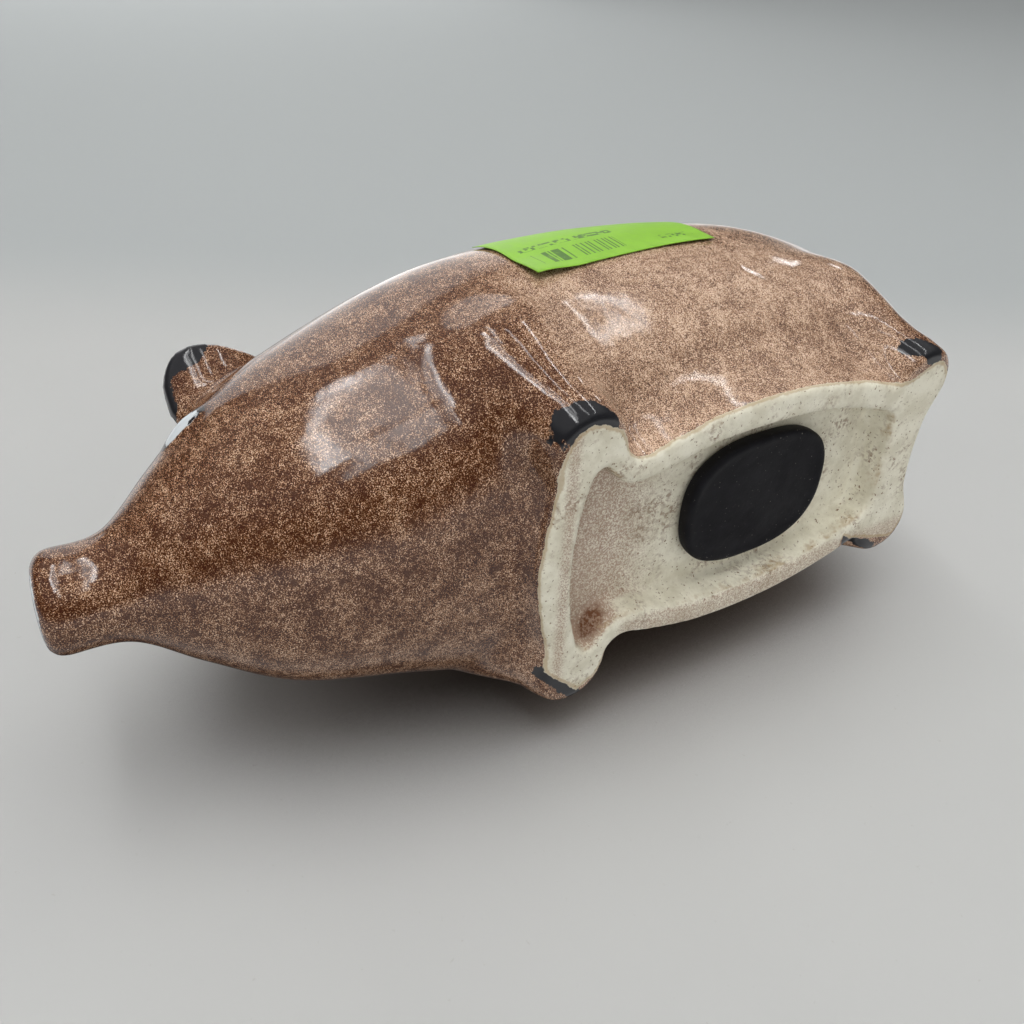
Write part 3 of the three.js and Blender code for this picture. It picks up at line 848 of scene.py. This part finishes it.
def floor_material(name, centre, reach, shade, far=None):
    """Pale board, seen from its front only, that fades into the background away from centre, and is
    darkened towards shade with painted contact shadow where the pig is close.
    """
    s = Shader(name)
    tree = s.tree
    position = s.add("ShaderNodeNewGeometry", output="Position")
    back = s.add("ShaderNodeNewGeometry", output="Backfacing")
    offset = s.add("ShaderNodeVectorMath", {0: position, 1: centre}, operation="SUBTRACT")
    away = s.add("ShaderNodeVectorMath", {0: offset}, "Value", operation="LENGTH")
    hide = s.math("MAXIMUM", s.ramp(away, reach * 0.55, reach), back)
    mottled = s.noise(9, 3, 0.5, position)
    specks = s.ramp(s.noise(700, 2, 0.5, position), 0.72, 0.78)
    colour = s.mix(mottled, (0.455, 0.459, 0.450), (0.502, 0.505, 0.495))
    colour = s.mix(s.math("MULTIPLY", specks, 0.25), colour, (0.35, 0.33, 0.30))
    if far:
        along = s.add("ShaderNodeVectorMath", {0: position, 1: far[0]}, "Value", operation="DOT_PRODUCT")
        colour = s.mix(s.ramp(along, far[1], far[2]), colour, (0.395, 0.413, 0.413))
    # Painted contact shadow: ambient occlusion from the pig blends the board towards shade, less so above
    # z 0.02 m and past y -0.02 m.
    nearby = s.add("ShaderNodeAmbientOcclusion", {"Distance": 0.065}, "AO", samples=12)
    axes = s.tree.nodes.new("ShaderNodeSeparateXYZ")
    s.put(axes.inputs[0], position)
    lift = s.math("MAXIMUM", s.ramp(axes.outputs["Z"], 0.02, 0.09, 0.0, 0.85),
                  s.ramp(axes.outputs["Y"], -0.02, -0.09, 0.0, 0.55))
    colour = s.mix(s.math("MAXIMUM", s.ramp(nearby, 0.08, 0.80), lift), shade, colour)
    s.set(Base_Color=colour, Roughness=0.9, Specular_IOR_Level=0.0)
    clear = tree.nodes.new("ShaderNodeBsdfTransparent")
    join = tree.nodes.new("ShaderNodeMixShader")
    tree.links.new(hide, join.inputs[0])
    tree.links.new(s.surface.outputs[0], join.inputs[1])
    tree.links.new(clear.outputs[0], join.inputs[2])
    out = next(n for n in tree.nodes if n.type == "OUTPUT_MATERIAL")
    tree.links.new(join.outputs[0], out.inputs[0])
    return s.material


X, Y, Z = Vector((1, 0, 0)), Vector((0, 1, 0)), Vector((0, 0, 1))
side_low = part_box("body_shell")[0].x
horizon = ((0.0, 0.532, 0.8465), 0.18, 0.31)
# The dark colours passed here are the boards' painted contact-shadow colours.
board_side = floor_material("board_side", (side_low, 0.0, 0.05), 2.4, (0.022, 0.019, 0.017), horizon)
board_under = floor_material("board_under", (0.0, 0.0, 0.0), 1.6, (0.13, 0.128, 0.122))
plane("floor_photo", Vector((side_low - 0.001, 0, 0.05)), Y, Z, 3.0, board_side)
plane("floor_stand", Vector((0, 0, -0.0005)), X, Y, 3.0, board_under)


def area_light(name, place, target, size, power, reflected=False):
    """A soft lamp. Unless reflected, it lights the object without showing in the glaze."""
    data = bpy.data.lights.new(name, "AREA")
    data.shape = "RECTANGLE"
    data.size, data.size_y = size
    data.energy = power
    obj = bpy.data.objects.new(name, data)
    bpy.context.scene.collection.objects.link(obj)
    obj.location = place
    obj.rotation_mode = "QUATERNION"
    obj.rotation_quaternion = (Vector(target) - Vector(place)).to_track_quat("-Z", "Y")
    obj.visible_glossy = reflected


WINDOWS_X = 0.95


def window(name, start, end, width, strength):
    """A soft-edged strip of light on the pig's left, from start to end given as (y, z)."""
    start, end = Vector(start), Vector(end)
    length = (end - start).length
    corners = [(0, b * width / 2, a * length / 2) for a, b in ((-1, -1), (-1, 1), (1, 1), (1, -1))]
    mesh = bpy.data.meshes.new(name)
    mesh.from_pydata(corners, [], [(0, 3, 2, 1)])
    obj = bpy.data.objects.new(name, mesh)
    bpy.context.scene.collection.objects.link(obj)
    middle = (start + end) / 2
    obj.location = (WINDOWS_X, middle.x, middle.y)
    obj.rotation_euler.x = math.atan2(start.x - end.x, end.y - start.y)
    s = Shader(name)
    axes = s.tree.nodes.new("ShaderNodeSeparateXYZ")
    s.put(axes.inputs[0], s.place())
    along = s.ramp(s.math("ABSOLUTE", axes.outputs["Z"]), length / 2, length * 0.42)
    across = s.ramp(s.math("ABSOLUTE", axes.outputs["Y"]), width / 2, width * 0.30)
    soft = s.math("MULTIPLY", along, across)
    glow = s.add("ShaderNodeEmission", {"Strength": s.math("MULTIPLY", soft, strength)})
    out = next(n for n in s.tree.nodes if n.type == "OUTPUT_MATERIAL")
    s.tree.links.new(glow, out.inputs[0])
    mesh.materials.append(s.material)
    obj.visible_camera = False
    obj.visible_shadow = False


for n, (start, end, width, strength) in enumerate((
        ((-0.280, -0.58), (-0.282, 0.10), 0.085, 13.0),
        ((-0.285, 0.02), (-0.115, 0.64), 0.060, 13.0),
        ((-0.120, 0.62), (-0.170, -0.30), 0.022, 9.0),
        ((-0.230, -0.50), (-0.180, 0.45), 0.110, 3.5),
        ((-0.215, -0.95), (-0.195, -0.36), 0.045, 8.0),
        ((-0.090, 0.00), (0.010, 0.80), 0.045, 7.0),
        ((0.165, 0.40), (0.260, -0.55), 0.040, 8.0),
        ((0.625, 0.60), (0.615, -0.70), 0.020, 26.0),
        ((2.000, 1.10), (2.400, 1.55), 0.260, 5.0))):
    window("window_%d" % n, start, end, width, strength)
area_light("ceiling", (1.30, 0.12, 0.10), (0, 0, 0.05), (1.3, 1.3), 6.0)
area_light("room_above", (0.25, 0.15, 0.95), (0, 0, 0.04), (0.9, 0.7), 2.0, reflected=True)
area_light("room_behind", (-0.75, 0.55, 0.45), (0, 0, 0.05), (0.9, 0.9), 3.5)
area_light("room_low", (0.40, 0.05, -1.10), (0, 0, 0), (0.9, 0.9), 2.0)
area_light("room_front", (0.45, -0.95, -0.55), (-0.05, -0.10, 0.0), (0.8, 0.8), 2.1)


def room_world():
    """Bands of light around the pig's left-to-right axis, with one dark corner, behind a grey wall."""
    world = bpy.data.worlds.new("room")
    world.use_nodes = True
    tree = world.node_tree
    tree.nodes.clear()
    link = tree.links.new
    path = tree.nodes.new("ShaderNodeLightPath")
    direction = tree.nodes.new("ShaderNodeTexCoord")
    towards = tree.nodes.new("ShaderNodeVectorMath")
    towards.operation = "DOT_PRODUCT"
    towards.inputs[1].default_value = Vector((-0.80, 0.27, 0.53)).normalized()
    link(direction.outputs["Generated"], towards.inputs[0])
    dark = tree.nodes.new("ShaderNodeMapRange")
    dark.interpolation_type = "SMOOTHSTEP"
    for key, value in (("From Min", 0.72), ("From Max", 0.93), ("To Min", 0.0), ("To Max", 1.0)):
        dark.inputs[key].default_value = value
    link(towards.outputs["Value"], dark.inputs["Value"])
    split = tree.nodes.new("ShaderNodeSeparateXYZ")
    link(direction.outputs["Generated"], split.inputs[0])
    turned = tree.nodes.new("ShaderNodeMapRange")
    turned.inputs["From Min"].default_value = -1
    link(split.outputs["X"], turned.inputs["Value"])
    bands = tree.nodes.new("ShaderNodeValToRGB")
    bands.color_ramp.interpolation = "EASE"
    levels = [(0.0, 0.42), (0.20, 0.60), (0.40, 0.88), (0.50, 0.24), (0.56, 0.10), (0.68, 0.12),
              (0.86, 0.50)]
    while len(bands.color_ramp.elements) < len(levels):
        bands.color_ramp.elements.new(0.5)
    for element, (position, level) in zip(bands.color_ramp.elements, levels):
        element.position = position
        element.color = (level, level, level, 1)
    link(turned.outputs[0], bands.inputs[0])
    shade = tree.nodes.new("ShaderNodeMix")
    shade.data_type = "RGBA"
    shade.inputs[7].default_value = (0.04, 0.04, 0.04, 1)
    link(dark.outputs[0], shade.inputs[0])
    link(bands.outputs[0], shade.inputs[6])
    light = tree.nodes.new("ShaderNodeBackground")
    link(shade.outputs[2], light.inputs[0])
    wall = tree.nodes.new("ShaderNodeBackground")
    wall.inputs[0].default_value = (0.43, 0.44, 0.44, 1)
    join = tree.nodes.new("ShaderNodeMixShader")
    out = tree.nodes.new("ShaderNodeOutputWorld")
    link(path.outputs["Is Camera Ray"], join.inputs[0])
    link(light.outputs[0], join.inputs[1])
    link(wall.outputs[0], join.inputs[2])
    link(join.outputs[0], out.inputs[0])
    return world


def main_camera():
    data = bpy.data.cameras.new("camera")
    data.sensor_width = SENSOR
    data.lens = LENS
    data.clip_start = 0.01
    obj = bpy.data.objects.new("camera", data)
    bpy.context.scene.collection.objects.link(obj)
    obj.matrix_world = (Matrix.Translation(CAMERA_PLACE * MM)
                        @ Matrix((RIGHT, -DOWN, -FORWARD)).transposed().to_4x4())
    return obj


bpy.context.scene.world = room_world()
bpy.context.scene.camera = main_camera()
bpy.context.scene.view_settings.view_transform = "Standard"
